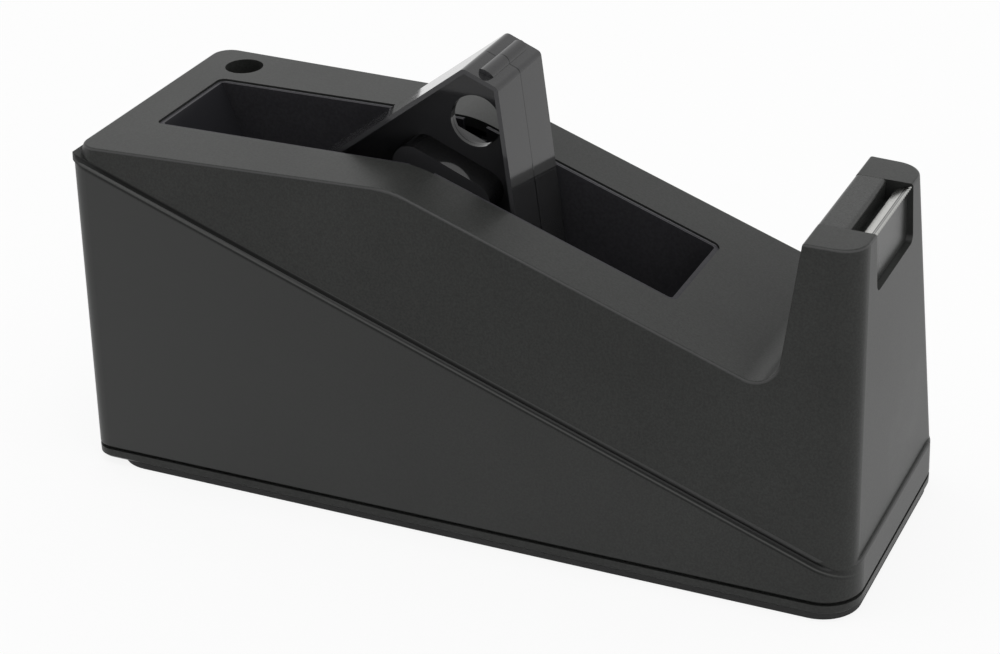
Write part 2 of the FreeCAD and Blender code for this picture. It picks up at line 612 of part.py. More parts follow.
def tape_well():
    """The tub under the slot, with the cradles that hold the axle and ears for its screws."""
    well = well_solid(0.0, SLOT_CORNER_RADIUS - WELL_GAP, 0.0)
    for x, ear_top in ear_places():
        tip = x + math.copysign(EAR_HALF_WIDTH, x - HUB_AXIS_X)
        well = well.fuse(box(min(tip, HUB_AXIS_X), max(tip, HUB_AXIS_X), -EAR_HALF_WIDTH, EAR_HALF_WIDTH,
                             ear_top - EAR_THICKNESS, ear_top))
        well = well.cut(cylinder(SCREW_RADIUS + SCREW_GAP, x, 0, ear_top - 5, ear_top + 1))
    well = well.cut(well_solid(WELL_WALL, WELL_INNER_RADIUS, 5.0))
    for side in (-1, 1):
        cradle_top = deck_z(HUB_AXIS_X + CRADLE_LENGTH / 2) - 1.2 * WALL
        y0, y1 = sorted((side * (WELL_HALF_WIDTH - 0.5), side * (WELL_HALF_WIDTH + CRADLE_THICKNESS)))
        cradle = box(HUB_AXIS_X - CRADLE_LENGTH / 2, HUB_AXIS_X + CRADLE_LENGTH / 2, y0, y1,
                     HUB_AXIS_HEIGHT - CRADLE_DEPTH, cradle_top)
        well = well.fuse(cradle)

    # the notches that the axle drops into, open at the rim
    notch_radius = AXLE_RADIUS + RUNNING_CLEARANCE
    notch = cross_cylinder(notch_radius, HUB_AXIS_X, HUB_AXIS_HEIGHT, -WELL_HALF_WIDTH, WELL_HALF_WIDTH)
    notch = notch.fuse(box(HUB_AXIS_X - notch_radius, HUB_AXIS_X + notch_radius, -WELL_HALF_WIDTH,
                           WELL_HALF_WIDTH, HUB_AXIS_HEIGHT, DECK_HEIGHT + 5))
    return well.cut(notch)


def screw(x, y, seat_z, length):
    """Hexagon-headed screw pointing up, its head under the seat."""
    corners = []
    for step in range(6):
        angle = math.radians(60 * step)
        corners.append((x + SCREW_HEAD_RADIUS * math.cos(angle), y + SCREW_HEAD_RADIUS * math.sin(angle),
                        0.0))
    head = prism(corners, "Z", seat_z - SCREW_HEAD_HEIGHT, seat_z)
    return head.fuse(cylinder(SCREW_RADIUS, x, y, seat_z - SCREW_HEAD_HEIGHT / 2, seat_z + length))


def hub_direction(step):
    """Unit vectors towards corner number step of the hub and square to it, in the side plane."""
    angle = math.radians(HUB_APEX_ANGLE + 120 * step)
    outward = Vector(math.cos(angle), 0, math.sin(angle))
    across = Vector(-math.sin(angle), 0, math.cos(angle))
    return outward, across


def hub_outline(inset=0.0):
    """The hub from the side: a triangle with its corners cut off square."""
    corners = []
    centre = Vector(HUB_AXIS_X, 0, HUB_AXIS_HEIGHT)
    half_flat = (HUB_APEX_RADIUS - HUB_FLAT_RADIUS) * math.tan(math.radians(30))
    for step in range(3):
        outward, across = hub_direction(step)
        for side in (-1, 1):
            p = centre + outward * HUB_FLAT_RADIUS + across * (side * half_flat)
            corners.append((p.x, p.z, HUB_CORNER_RADIUS))
    return inset_outline(corners, inset) if inset else corners


def boss_outline():
    """The three-sided boss round the axle, its flats facing the hub's corners."""
    corners = []
    centre = Vector(HUB_AXIS_X, 0, HUB_AXIS_HEIGHT)
    for step in range(3):
        outward, across = hub_direction(step)
        p = centre - outward * (2 * BOSS_FLAT_RADIUS)
        corners.append((p.x, p.z, BOSS_CORNER_RADIUS))
    return corners


def hub_ridge(step, side):
    """One half of the round-ended ridge that grips the core, sunk in the flat of one corner."""
    outward, across = hub_direction(step)
    centre = Vector(HUB_AXIS_X, 0, HUB_AXIS_HEIGHT) + outward * (CORE_RADIUS - RIDGE_RADIUS)
    straight = RIDGE_LENGTH / 2 - RIDGE_RADIUS
    bar = Part.makeCylinder(RIDGE_RADIUS, RIDGE_LENGTH / 2, centre, Vector(0, side, 0))
    # seen from above, the end is round and stands up steeply
    turn = centre + Vector(0, side * straight, 0)
    plan = Part.makeCylinder(RIDGE_RADIUS, 2 * RIDGE_RADIUS, turn - outward * RIDGE_RADIUS, outward)
    beyond = Part.makeCylinder(2 * RIDGE_RADIUS, RIDGE_LENGTH, turn, Vector(0, side, 0))
    return bar.cut(beyond.cut(plan))


def joining_tab(step, gap):
    """Plan of one moulded tab between the halves, inside the boss; gap widens its socket."""
    outward, across = hub_direction(step)
    centre = Vector(HUB_AXIS_X, 0, HUB_AXIS_HEIGHT) - outward * TAB_OFFSET
    half_thickness = outward * (TAB_THICKNESS / 2 + gap)
    half_width = across * (TAB_WIDTH / 2 + gap)
    corners = []
    for a, b in ((-1, -1), (1, -1), (1, 1), (-1, 1)):
        p = centre + half_thickness * a + half_width * b
        corners.append((p.x, p.z, 0.0))
    return corners


def hub_half(side):
    """One moulded half of the hub, a tray that opens away from the middle plane."""
    open_y = side * HUB_WIDTH / 2
    half = prism(hub_outline(), "Y", 0, open_y)
    centre = Vector(HUB_AXIS_X, 0, HUB_AXIS_HEIGHT)
    # the ridges stop at the rim's inner face, where the tray is cut out
    for step in range(3):
        half = half.fuse(hub_ridge(step, side))
    tray = [(x, z, 0.0) for x, z, radius in hub_outline(HUB_RIM)]
    half = half.cut(prism(tray, "Y", side * HUB_WEB, open_y + side))
    half = half.fuse(prism(boss_outline(), "Y", side * HUB_WEB / 2, side * BOSS_WIDTH / 2))
    for step in range(3):
        outward, across = hub_direction(step)
        hole = centre + outward * WEB_HOLE_OFFSET
        half = half.cut(cross_cylinder(WEB_HOLE_RADIUS, hole.x, hole.z, -HUB_WIDTH, HUB_WIDTH))
        if side < 0:
            half = half.fuse(prism(joining_tab(step, 0.0), "Y", -HUB_WEB, TAB_LENGTH))
        else:
            half = half.cut(prism(joining_tab(step, LOCATING_GAP), "Y", -1, TAB_LENGTH + LOCATING_GAP))
    bore = AXLE_RADIUS + RUNNING_CLEARANCE
    half = half.cut(cross_cylinder(bore, HUB_AXIS_X, HUB_AXIS_HEIGHT, -HUB_WIDTH, HUB_WIDTH))
    return half.removeSplitter()


def axle():
    half_length = WELL_HALF_WIDTH - AXLE_END_PLAY
    return cross_cylinder(AXLE_RADIUS, HUB_AXIS_X, HUB_AXIS_HEIGHT, -half_length, half_length)


def cutter_block():
    """The smooth insert between the tower's cheeks: landing, trough, rib and the panel in front."""
    half_width = CUTTER_HALF_WIDTH - CUTTER_GAP
    return prism(cutter_outline(CUTTER_GAP), "Y", -half_width, half_width)


def cutter_blade():
    """Bent steel strip hooked over the rib, its front edge cut into teeth."""
    rib_back = tower_back_x(TOWER_HEIGHT) + LANDING_DEPTH + TROUGH_WIDTH + BLADE_THICKNESS
    along = Vector(math.cos(BLADE_ANGLE), 0, math.sin(BLADE_ANGLE))
    normal = Vector(-along.z, 0, along.x)
    bend = Vector(rib_back, 0, RIB_TOP)
    tip = bend + along * (BLADE_REACH / along.x)
    outer_bend_z = RIB_TOP + (BLADE_THICKNESS / along.x) - BLADE_THICKNESS * along.z / along.x
    tip_top = tip + normal * BLADE_THICKNESS
    strip = [
        (rib_back - BLADE_THICKNESS, RIB_TOP - BLADE_HOOK, 0.0),
        (rib_back, RIB_TOP - BLADE_HOOK, 0.0),
        (bend.x, bend.z, 0.0),
        (tip.x, tip.z, 0.0),
        (tip_top.x, tip_top.z, 0.0),
        (rib_back - BLADE_THICKNESS, outer_bend_z, BLADE_THICKNESS),
    ]
    half_width = CUTTER_HALF_WIDTH - 3 * CUTTER_GAP
    blade = prism(strip, "Y", -half_width, half_width)
    count = int(2 * half_width / TOOTH_PITCH)
    front = tip.x + 0.05
    notches = []
    for i in range(count):
        y = (i - (count - 1) / 2) * TOOTH_PITCH
        gap = [
            (front - TOOTH_DEPTH, y, 0.0),
            (front + 0.5, y - TOOTH_PITCH * 0.8, 0.0),
            (front + 0.5, y + TOOTH_PITCH * 0.8, 0.0),
        ]
        notches.append(prism(gap, "Z", RIB_TOP - 1, TOWER_HEIGHT + 1))
    return blade.cut(Part.makeCompound(notches))


def base_screw_places():
    return [(x, y) for x, y, top in post_places()]


def base_plate():
    """Closes the body from below: bevelled edge, shadow groove, locating lip, screw seats."""
    plate = prism(foot_outline(BASE_TOP), "Z", PAD_THICKNESS, BASE_TOP)
    rim = edges_near(plate, lambda p: p.z < PAD_THICKNESS + 0.01)
    plate = plate.makeChamfer(BASE_EDGE_CHAMFER, rim)
    plate = plate.fuse(prism(foot_outline(BASE_TOP, SHADOW_GAP_DEPTH), "Z", BASE_TOP, SHELL_BOTTOM))
    lip_inset = SKIRT_STEP + WALL + LOCATING_GAP
    lip_top = SHELL_BOTTOM + BASE_LIP_HEIGHT
    lip = prism(foot_outline(BASE_TOP, lip_inset), "Z", BASE_TOP, lip_top)
    inside = prism(foot_outline(BASE_TOP, lip_inset + BASE_LIP_WIDTH), "Z", SHELL_BOTTOM, lip_top + 1)
    plate = plate.fuse(lip).cut(inside)
    for x, y in base_screw_places():
        plate = plate.cut(cylinder(SCREW_RADIUS + SCREW_GAP, x, y, 0, SHELL_BOTTOM + 1))
        plate = plate.cut(box(x - SEAT_HALF_WIDTH, x + SEAT_HALF_WIDTH, y - SEAT_HALF_WIDTH,
                              y + SEAT_HALF_WIDTH, 0, SEAT_Z))
    return plate


def nonslip_pad():
    outline = rectangle(-HALF_LENGTH + PAD_BACK_INSET, HALF_LENGTH - PAD_SIDE_INSET,
                        PAD_SIDE_INSET - HALF_WIDTH, HALF_WIDTH - PAD_SIDE_INSET, FRONT_CORNER_RADIUS)
    return prism(outline, "Z", 0, PAD_THICKNESS)


def ballast_plate():
    """Flat steel weight under the well, bonded to the base plate inside its lip."""
    half_width = HALF_WIDTH - SKIRT_STEP - WALL - LOCATING_GAP - BASE_LIP_WIDTH - BALLAST_SIDE_GAP
    outline = rectangle(BALLAST_BACK - HALF_LENGTH, BLOCK_BACK_X - BALLAST_SPACING, -half_width,
                        half_width)
    return prism(outline, "Z", SHELL_BOTTOM, BALLAST_TOP)


def ballast_block():
    """Cast iron weight in the foot of the tower, between the front screw posts."""
    half_width = POST_FRONT_Y - POST_HALF_WIDTH - BLOCK_POST_GAP
    outline = rectangle(BLOCK_BACK_X, BLOCK_BACK_X + BLOCK_LENGTH, -half_width, half_width)
    return prism(outline, "Z", SHELL_BOTTOM, SHELL_BOTTOM + BLOCK_HEIGHT)


def base_screws():
    """Four like screws up through the base plate into the body's posts."""
    return Part.makeCompound([screw(x, y, SEAT_Z, SCREW_LENGTH) for x, y in base_screw_places()])


def well_screws():
    """Shorter screws, up through the well's ears into the bosses under the deck."""
    seats = [(x, top - EAR_THICKNESS) for x, top in ear_places()]
    return Part.makeCompound([screw(x, 0.0, seat, WELL_SCREW_LENGTH) for x, seat in seats])


NODES = {
    "body_shell": body_shell(),
    "tape_well": tape_well(),
    "cutter_block": cutter_block(),
    "cutter_blade": cutter_blade(),
    "base_plate": base_plate(),
    "nonslip_pad": nonslip_pad(),
    "ballast_plate": ballast_plate(),
    "ballast_block": ballast_block(),
    "base_screws": base_screws(),
    "well_screws": well_screws(),
    "axle": axle(),
    "hub_near_half": hub_half(-1),
    "hub_far_half": hub_half(1),
}

for node, shape in NODES.items():
    shape.exportStep("parts/" + node + ".step")
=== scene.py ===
import math
import bmesh
import bpy
from mathutils import Matrix, Vector


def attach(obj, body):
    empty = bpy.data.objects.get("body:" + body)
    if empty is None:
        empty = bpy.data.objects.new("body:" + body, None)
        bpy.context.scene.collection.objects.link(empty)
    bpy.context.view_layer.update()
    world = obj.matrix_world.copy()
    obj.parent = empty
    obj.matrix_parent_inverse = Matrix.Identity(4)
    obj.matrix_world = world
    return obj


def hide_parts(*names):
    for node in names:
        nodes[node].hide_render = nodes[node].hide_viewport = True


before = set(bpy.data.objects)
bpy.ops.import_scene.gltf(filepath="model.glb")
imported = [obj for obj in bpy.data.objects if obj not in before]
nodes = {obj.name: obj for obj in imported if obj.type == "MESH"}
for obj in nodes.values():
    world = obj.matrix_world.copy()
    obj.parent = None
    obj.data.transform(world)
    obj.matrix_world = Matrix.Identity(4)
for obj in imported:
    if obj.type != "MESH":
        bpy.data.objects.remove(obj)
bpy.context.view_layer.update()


# Non-slip pad.  A sheet of black foam rubber, die cut and glued under the base
# plate; only its thin edge shows, set back from the base all round.
def fitted(tree, kind, inputs, **settings):
    """A shader node; an input takes a constant, or the output socket that feeds it."""
    node = tree.nodes.new("ShaderNode" + kind)
    for name, value in settings.items():
        setattr(node, name, value)
    for socket, value in inputs.items():
        if isinstance(value, bpy.types.NodeSocket):
            tree.links.new(value, node.inputs[socket])
        else:
            node.inputs[socket].default_value = value
    return node


def maths(tree, operation, *terms):
    """A sum on constants or output sockets."""
    return fitted(tree, "Math", dict(enumerate(terms)), operation=operation).outputs[0]


def ranged(tree, value, low, high, start=0.0, end=1.0):
    """Carries a value from between low and high to between start and end, held at both."""
    return fitted(tree, "MapRange", {"Value": value, "From Min": low, "From Max": high,
                                     "To Min": start, "To Max": end}).outputs["Result"]


def mixed(tree, under, over, share, blend="MIX"):
    """One colour laid over another; share is how much of the upper one counts."""
    return fitted(tree, "Mix", {"Factor": share, "A": under, "B": over},
                  data_type="RGBA", blend_type=blend).outputs["Result"]


def opened_group(name, takes, gives):
    """A shader group, with what it takes at plain values, and the sockets inside it."""
    group = bpy.data.node_groups.new(name, "ShaderNodeTree")
    add = group.interface.new_socket
    for socket, value in takes.items():
        add(socket, in_out="INPUT", socket_type="NodeSocketFloat").default_value = value
    for socket in gives:
        add(socket, in_out="OUTPUT", socket_type="NodeSocketFloat")
    way_in = group.nodes.new("NodeGroupInput")
    way_out = group.nodes.new("NodeGroupOutput")
    return group, way_in.outputs, way_out.inputs


def moulded_grain():
    """Fine pitting of a moulded or foamed skin: colour clouds, grain height and rub mask."""
    group, taken, given = opened_group(
        "moulded_grain",
        {"Grain per metre": 2600.0, "Cloud per metre": 28.0, "Contrast": 0.35, "Speck": 0.1},
        ("Cloud", "Grain", "Rub"))
    place = group.nodes.new("ShaderNodeTexCoord").outputs["Object"]

    def noise(scale, detail, roughness):
        """Cloudy noise on the piece."""
        return fitted(group, "TexNoise", {"Vector": place, "Scale": scale, "Detail": detail,
                                          "Roughness": roughness}).outputs["Fac"]

    def swung(value, low, high, amount):
        """A factor that swings by an amount either side of 1."""
        return ranged(group, value, low, high, maths(group, "SUBTRACT", 1.0, amount),
                      maths(group, "ADD", 1.0, amount))

    grain = noise(taken["Grain per metre"], detail=3.0, roughness=0.6)
    cloud = noise(taken["Cloud per metre"], detail=4.0, roughness=0.55)
    rub = noise(scale=9.0, detail=6.0, roughness=0.7)
    clouds = swung(cloud, low=0.3, high=0.7, amount=taken["Contrast"])
    specks = swung(grain, low=0.35, high=0.65, amount=taken["Speck"])
    link = group.links.new
    link(maths(group, "MULTIPLY", clouds, specks), given["Cloud"])
    link(grain, given["Grain"])
    link(ranged(group, rub, low=0.55, high=0.75), given["Rub"])
    return group


GRAIN = moulded_grain()


def opened_material(name):
    """A new material, its tree and the inputs of its shader."""
    material = bpy.data.materials.new(name)
    material.use_nodes = True
    tree = material.node_tree
    return material, tree, tree.nodes["Principled BSDF"].inputs


def moulded(name, colour, roughness, rub_roughness, grain, cloud, contrast, speck, depth, ior=1.5):
    """A moulded skin: colour clouds, a gloss that changes where hands rub it, grain as bump."""
    material, tree, shader = opened_material(name)
    shader["IOR"].default_value = ior
    skin = fitted(tree, "Group", {"Grain per metre": grain, "Cloud per metre": cloud,
                                  "Contrast": contrast, "Speck": speck}, node_tree=GRAIN).outputs
    bump = fitted(tree, "Bump", {"Distance": depth, "Height": skin["Grain"]})
    link = tree.links.new
    link(mixed(tree, (*colour, 1.0), skin["Cloud"], 1.0, "MULTIPLY"), shader["Base Color"])
    link(ranged(tree, skin["Rub"], 0.0, 1.0, roughness, rub_roughness), shader["Roughness"])
    link(bump.outputs["Normal"], shader["Normal"])
    return material


def wear(node_names, material):
    """Gives parts that the frame holds their finish."""
    for name in node_names:
        part = nodes[name]
        part.data.materials.clear()
        part.data.materials.append(material)


foam_rubber = moulded("foam_rubber", colour=(0.018, 0.018, 0.018), roughness=0.78,
                      rub_roughness=0.7, grain=1800.0, cloud=60.0, contrast=0.25, speck=0.2,
                      depth=4e-5)
wear(["nonslip_pad"], foam_rubber)


# Base plate.  Injection-moulded black styrene with a rolled lower edge; a
# shadow groove parts it from the body and four screws pull it up.
STYRENE_BLACK = (0.031, 0.032, 0.0306)

base_styrene = moulded("base_styrene", colour=STYRENE_BLACK, roughness=0.40, rub_roughness=0.36,
                       grain=1900.0, cloud=24.0, contrast=0.15, speck=0.2, depth=1e-5, ior=1.27)
wear(["base_plate"], base_styrene)


# Ballast.  A sawn steel plate under the well and a grey iron casting in the
# foot of the tower, both bonded to the base plate and shut inside.
MARK_DULL = 0.8                     # the tone of the darkest mark, against the metal's own
MARK_SMOOTH, MARK_ROUGH = 0.7, 1.3  # and how far the marks swing its roughness


def metal(name, colour, roughness, scale, stretch, depth):
    """Bare metal with tool marks or grains, stretched along the axes, in tone, gloss and height."""
    material, tree, shader = opened_material(name)
    shader["Metallic"].default_value = 1.0
    place = tree.nodes.new("ShaderNodeTexCoord").outputs["Object"]
    along = fitted(tree, "Mapping", {"Vector": place, "Scale": stretch}).outputs["Vector"]
    marks = fitted(tree, "TexNoise", {"Vector": along, "Scale": scale,
                                      "Detail": 5.0}).outputs["Fac"]
    bump = fitted(tree, "Bump", {"Distance": depth, "Height": marks})
    dull = [channel * MARK_DULL for channel in colour]
    link = tree.links.new
    link(mixed(tree, (*dull, 1.0), (*colour, 1.0), marks), shader["Base Color"])
    link(ranged(tree, marks, 0.0, 1.0, roughness * MARK_SMOOTH, roughness * MARK_ROUGH),
         shader["Roughness"])
    link(bump.outputs["Normal"], shader["Normal"])
    return material


EVENLY = (1, 1, 1)

sawn_steel = metal("sawn_steel", colour=(0.32, 0.32, 0.33), roughness=0.45, scale=300.0,
                   stretch=(1, 8, 1), depth=2e-5)
wear(["ballast_plate"], sawn_steel)
grey_iron = metal("grey_iron", colour=(0.22, 0.22, 0.22), roughness=0.6, scale=900.0,
                  stretch=EVENLY, depth=6e-5)
wear(["ballast_block"], grey_iron)


# Screws.  Zinc-plated steel with hexagon heads: four close the base plate on
# the body's posts, and two hold the well to the body by its ears.
zinc_plate = metal("zinc_plate", colour=(0.62, 0.62, 0.64), roughness=0.3, scale=700.0,
                   stretch=EVENLY, depth=4e-6)
wear(["base_screws", "well_screws"], zinc_plate)


# Tape well.  A smooth black styrene tub fitted into the slot from below; its
# rim shows as a thin rounded strip just under the edge of the deck.  A painted
# highlight lies on the far rim's top, and painted shade on the end walls.
def measured(tree, what, axis):
    """One coordinate of a spot's place ("Object") or of the way it faces ("Normal")."""
    spot = tree.nodes.new("ShaderNodeTexCoord").outputs[what]
    return fitted(tree, "SeparateXYZ", {"Vector": spot}).outputs[axis]


def stepped(tree, value, steps):
    """A shade that follows (value, shade) steps, level before and after them."""
    ramp = fitted(tree, "ValToRGB", {"Fac": value})
    stops = ramp.color_ramp.elements
    stops[0].position, stops[1].position = steps[0][0], steps[-1][0]
    for at, _ in steps[1:-1]:
        stops.new(at)
    for stop, (_, shade) in zip(stops, steps):
        stop.color = (shade, shade, shade, 1.0)
    return ramp.outputs["Color"]


def turned(tree, axis, steps):
    """A mask by how squarely a face looks along an axis, either way; steps are (turn, mask)."""
    return stepped(tree, maths(tree, "ABSOLUTE", measured(tree, "Normal", axis)), steps)


def lay_tone(material, mask, tone):
    """Lays another tone over the base colour where the mask is set."""
    tree = material.node_tree
    base = tree.nodes["Principled BSDF"].inputs["Base Color"]
    tree.links.new(mixed(tree, base.links[0].from_socket, (*tone, 1.0), mask), base)


END_WALL_SHADE_TONE = (0.024, 0.024, 0.027)
FAR_RIM_HIGHLIGHT_TONE = (0.17, 0.17, 0.175)
FAR_RIM_HIGHLIGHT_FROM, FAR_RIM_HIGHLIGHT_TO = 0.0150, 0.0156   # how far back the far rim's painted highlight sets in, in metres

well_styrene = moulded("well_styrene", colour=(0.050, 0.049, 0.054), roughness=0.2,
                       rub_roughness=0.26, grain=1200.0, cloud=30.0, contrast=0.15, speck=0.1,
                       depth=1e-6, ior=1.15)
tub = well_styrene.node_tree
# Painted shade: faces that look along X, the well's end walls, take a darker tone.
end_wall_shade = turned(tub, "X", ((0.5, 0.0), (0.7, 1.0)))
rim_top_highlight = turned(tub, "Z", ((0.7, 0.0), (0.85, 1.0)))
far_side_highlight = ranged(tub, measured(tub, "Object", "Y"), FAR_RIM_HIGHLIGHT_FROM, FAR_RIM_HIGHLIGHT_TO)
lay_tone(well_styrene, end_wall_shade, END_WALL_SHADE_TONE)
# Painted highlight: the top of the far rim takes a pale tone, as if it caught the overhead light.
lay_tone(well_styrene, maths(tub, "MULTIPLY", far_side_highlight, rim_top_highlight), FAR_RIM_HIGHLIGHT_TONE)
wear(["tape_well"], well_styrene)


# Body.  One black styrene moulding with a spark-eroded fine texture on the
# deck, the walls and the tower; the skirt ends in a rounded bead.  Painted
# light on it: highlights on the rounded edges and the bead's crest, painted
# shade in the crease above the bead, and a paler skirt towards the back.
BEAD_FOOT, BEAD_HEAD = -0.003, 0.0015   # the bead's reach below and above the edge line
BODY_BACK, BODY_FRONT = -0.1, 0.1
ALONG_BODY = ((0.0, 0.15), (0.06, 1.0), (0.957, 1.0), (1.0, 0.0))   # weak round both corners
BEAD_PAINTED_LIGHT = {
    "Crease shade": ((0.20, 0.0), (0.24, 0.5), (0.31, 0.5), (0.35, 0.0), (0.46, 0.0),
               (0.50, 0.55), (0.60, 0.68), (0.66, 0.75), (0.73, 0.5), (0.79, 0.0)),
    "Crest highlight": ((0.35, 0.0), (0.38, 1.0), (0.43, 1.0), (0.46, 0.0))}
SKIRT_LOW, SKIRT_HIGH = -0.0025, -0.0019   # where the skirt's painted light stops below the edge line
SKIRT_PALE, SKIRT_PLAIN = -0.09, 0.08      # from here to there along the body the painted light fades


def skirt_edge_painted_light():
    """The skirt's rolled edge in painted light: painted shade in the creases, a painted highlight
    on the crest between them, and paler painted light on the skirt below.
    """
    group, taken, given = opened_group(
        "skirt_edge_painted_light", {"Height at middle": 0.04889, "Slope": -0.3721},
        ("Crease shade", "Crest highlight", "Skirt light"))
    x = measured(group, "Object", "X")
    z = measured(group, "Object", "Z")
    edge_height = maths(group, "MULTIPLY_ADD", x, taken["Slope"], taken["Height at middle"])
    above = maths(group, "SUBTRACT", z, edge_height)
    across_bead = ranged(group, above, BEAD_FOOT, BEAD_HEAD)
    kept = stepped(group, ranged(group, x, BODY_BACK, BODY_FRONT), ALONG_BODY)
    for name, shades in BEAD_PAINTED_LIGHT.items():
        shade = stepped(group, across_bead, shades)
        group.links.new(maths(group, "MULTIPLY", shade, kept), given[name])
    below = ranged(group, above, SKIRT_LOW, SKIRT_HIGH, 1.0, 0.0)
    backwards = ranged(group, x, SKIRT_PALE, SKIRT_PLAIN, 1.0, 0.0)
    group.links.new(maths(group, "MULTIPLY", below, backwards), given["Skirt light"])
    return group


def lay_painted_shade(material, mask, tone):
    """Painted shade for a crease too tight to give light back: dark, with no sheen of the plastic's
    own.
    """
    lay_tone(material, mask, tone)
    tree = material.node_tree
    tree.links.new(mask, tree.nodes["Principled BSDF"].inputs["Metallic"])


EDGE_HIGHLIGHT_FACES = ((0.2, 0.0), (0.45, 0.8), (0.72, 0.8), (0.85, 0.0))   # painted highlight on faces neither upright nor level
EDGE_HIGHLIGHT_TONE = (0.075, 0.075, 0.075)
SKIRT_LIGHT_TONE = (0.050, 0.051, 0.050)
CREST_HIGHLIGHT_TONE = (0.078, 0.079, 0.077)
CREASE_SHADE_TONE = (0.006, 0.006, 0.006)

body_styrene = moulded("body_styrene", colour=STYRENE_BLACK, roughness=0.38, rub_roughness=0.33,
                       grain=1900.0, cloud=24.0, contrast=0.12, speck=0.18, depth=1.2e-5, ior=1.27)
shell = body_styrene.node_tree
bead = fitted(shell, "Group", {}, node_tree=skirt_edge_painted_light()).outputs
# Painted highlight on the rounded edges, the faces that lean between upright and level.
lay_tone(body_styrene, turned(shell, "Z", EDGE_HIGHLIGHT_FACES), EDGE_HIGHLIGHT_TONE)
# Painted light: the skirt below the bead is paler at the back, fading towards the front.
lay_tone(body_styrene, bead["Skirt light"], SKIRT_LIGHT_TONE)
# Painted highlight: a pale line along the bead's crest.
lay_tone(body_styrene, bead["Crest highlight"], CREST_HIGHLIGHT_TONE)
# Painted shade: the crease above the bead is laid dark, with its sheen taken away.
lay_painted_shade(body_styrene, bead["Crease shade"], CREASE_SHADE_TONE)
wear(["body_shell"], body_styrene)


# Cutter block.  A smoother moulded block held between the cheeks of the tower;
# its front panel is a round-cornered pad that fills the window up to a
# shadowed step.
LANDING_FLOOR, LANDING_FRONT = 0.0862, 0.0892   # it lies above the one and behind the other
LANDING_LIFT = 0.00038      # brings the landing level with the cheeks
LANDING_REACH = 0.01418     # and closes its sides on them
PANEL_FOOT = Vector((0.09316, 0, 0.0734))       # the block's plain face in the window
PANEL_HEAD = Vector((0.09282, 0, 0.08594))
PAD_HALF_WIDTH = 0.0141
PAD_RISE = 0.0014           # the pad stands this far in front of the plain face
PAD_SUNK = 0.0003           # and is rooted this far behind it
PAD_CORNER = 0.0019
PAD_DRAUGHT = 0.0001        # its root lies this much lower than its front
PAD_HEAD_GAP = 0.0007       # the room left under the blade
PAD_TOP_SLOPE = 0.0003      # its top rises forwards, as the blade above it does
CORNER_STEPS = 8


def pad_outline(bottom, top):
    """The pad seen from the front: rounded at the foot, square under the blade."""
    points = [(PAD_HALF_WIDTH, top)]
    for side, start in ((1, 0.0), (-1, -90.0)):
        for step in range(CORNER_STEPS + 1):
            angle = math.radians(start - 90.0 * step / CORNER_STEPS)
            points.append((side * (PAD_HALF_WIDTH - PAD_CORNER) + PAD_CORNER * math.cos(angle),
                           bottom + PAD_CORNER + PAD_CORNER * math.sin(angle)))
    return points + [(-PAD_HALF_WIDTH, top)]


def padded_block(source):
    """The moulded block with its landing lifted and the pad standing on its front face."""
    shape = bmesh.new()
    shape.from_mesh(source.data)
    for vertex in shape.verts:
        if vertex.co.z > LANDING_FLOOR and vertex.co.x < LANDING_FRONT:
            vertex.co.z += LANDING_LIFT
            vertex.co.y = math.copysign(LANDING_REACH, vertex.co.y)
    lean = PANEL_HEAD.x - PANEL_FOOT.x
    height = PANEL_HEAD.z - PANEL_FOOT.z
    top = PANEL_HEAD.z - PAD_HEAD_GAP
    back, front = [], []
    for y, z in pad_outline(PANEL_FOOT.z + PAD_DRAUGHT, top):
        share = (z - PANEL_FOOT.z) / height
        x = PANEL_FOOT.x + lean * share
        slope = PAD_TOP_SLOPE if z == top else 0.0
        back.append(shape.verts.new((x - PAD_SUNK, y, z - PAD_DRAUGHT)))
        front.append(shape.verts.new((x + PAD_RISE, y, z + slope)))
    shape.faces.new(front)
    shape.faces.new(back[::-1])
    count = len(back)
    for i in range(count):
        j = (i + 1) % count
        shape.faces.new((back[i], back[j], front[j], front[i]))
    mesh = bpy.data.meshes.new("cutter_block_shown")
    bmesh.ops.recalc_face_normals(shape, faces=shape.faces)
    shape.to_mesh(mesh)
    shape.free()
    return bpy.data.objects.new("cutter_block_shown", mesh)


block_styrene = moulded("block_styrene", colour=(0.030, 0.031, 0.0296), roughness=0.27,
                        rub_roughness=0.31, grain=2000.0, cloud=30.0, contrast=0.12, speck=0.25,
                        depth=4e-6, ior=1.29)
block = padded_block(nodes["cutter_block"])
bpy.context.collection.objects.link(block)
block.data.materials.append(block_styrene)
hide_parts("cutter_block")
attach(block, "dispenser")


# Cutter blade.  A bent strip of bright spring steel hooked over the block's
# rib, with the teeth left as punched; two dark lines of painted shade and
# dark reflection lie on the strip behind them.
STRIP_BACK, STRIP_TEETH = 0.0936, 0.0953    # how far forward the flat begins and the teeth end
STRIP_PAINTED_SHADES = ((0.02, 1.0), (0.08, 0.12), (0.2, 0.12), (0.26, 0.6), (0.36, 0.6),
                (0.42, 0.2), (0.5, 0.2), (0.56, 0.8))


def strip_painted_lines():
    """Across the strip: bright on the flat, two painted dark lines of shade and dark reflection,
    bright teeth.
    """
    group, _, given = opened_group("strip_painted_lines", {}, ("Shade",))
    across = ranged(group, measured(group, "Object", "X"), STRIP_BACK, STRIP_TEETH)
    group.links.new(stepped(group, across, STRIP_PAINTED_SHADES), given["Shade"])
    return group


spring_strip = metal("spring_strip", colour=(0.56, 0.56, 0.54), roughness=0.2, scale=1500.0,
                     stretch=(4, 0.25, 4), depth=6e-6)
strip = spring_strip.node_tree
strip_shade_lines = fitted(strip, "Group", {}, node_tree=strip_painted_lines()).outputs["Shade"]
steel = strip.nodes["Principled BSDF"].inputs["Base Color"]
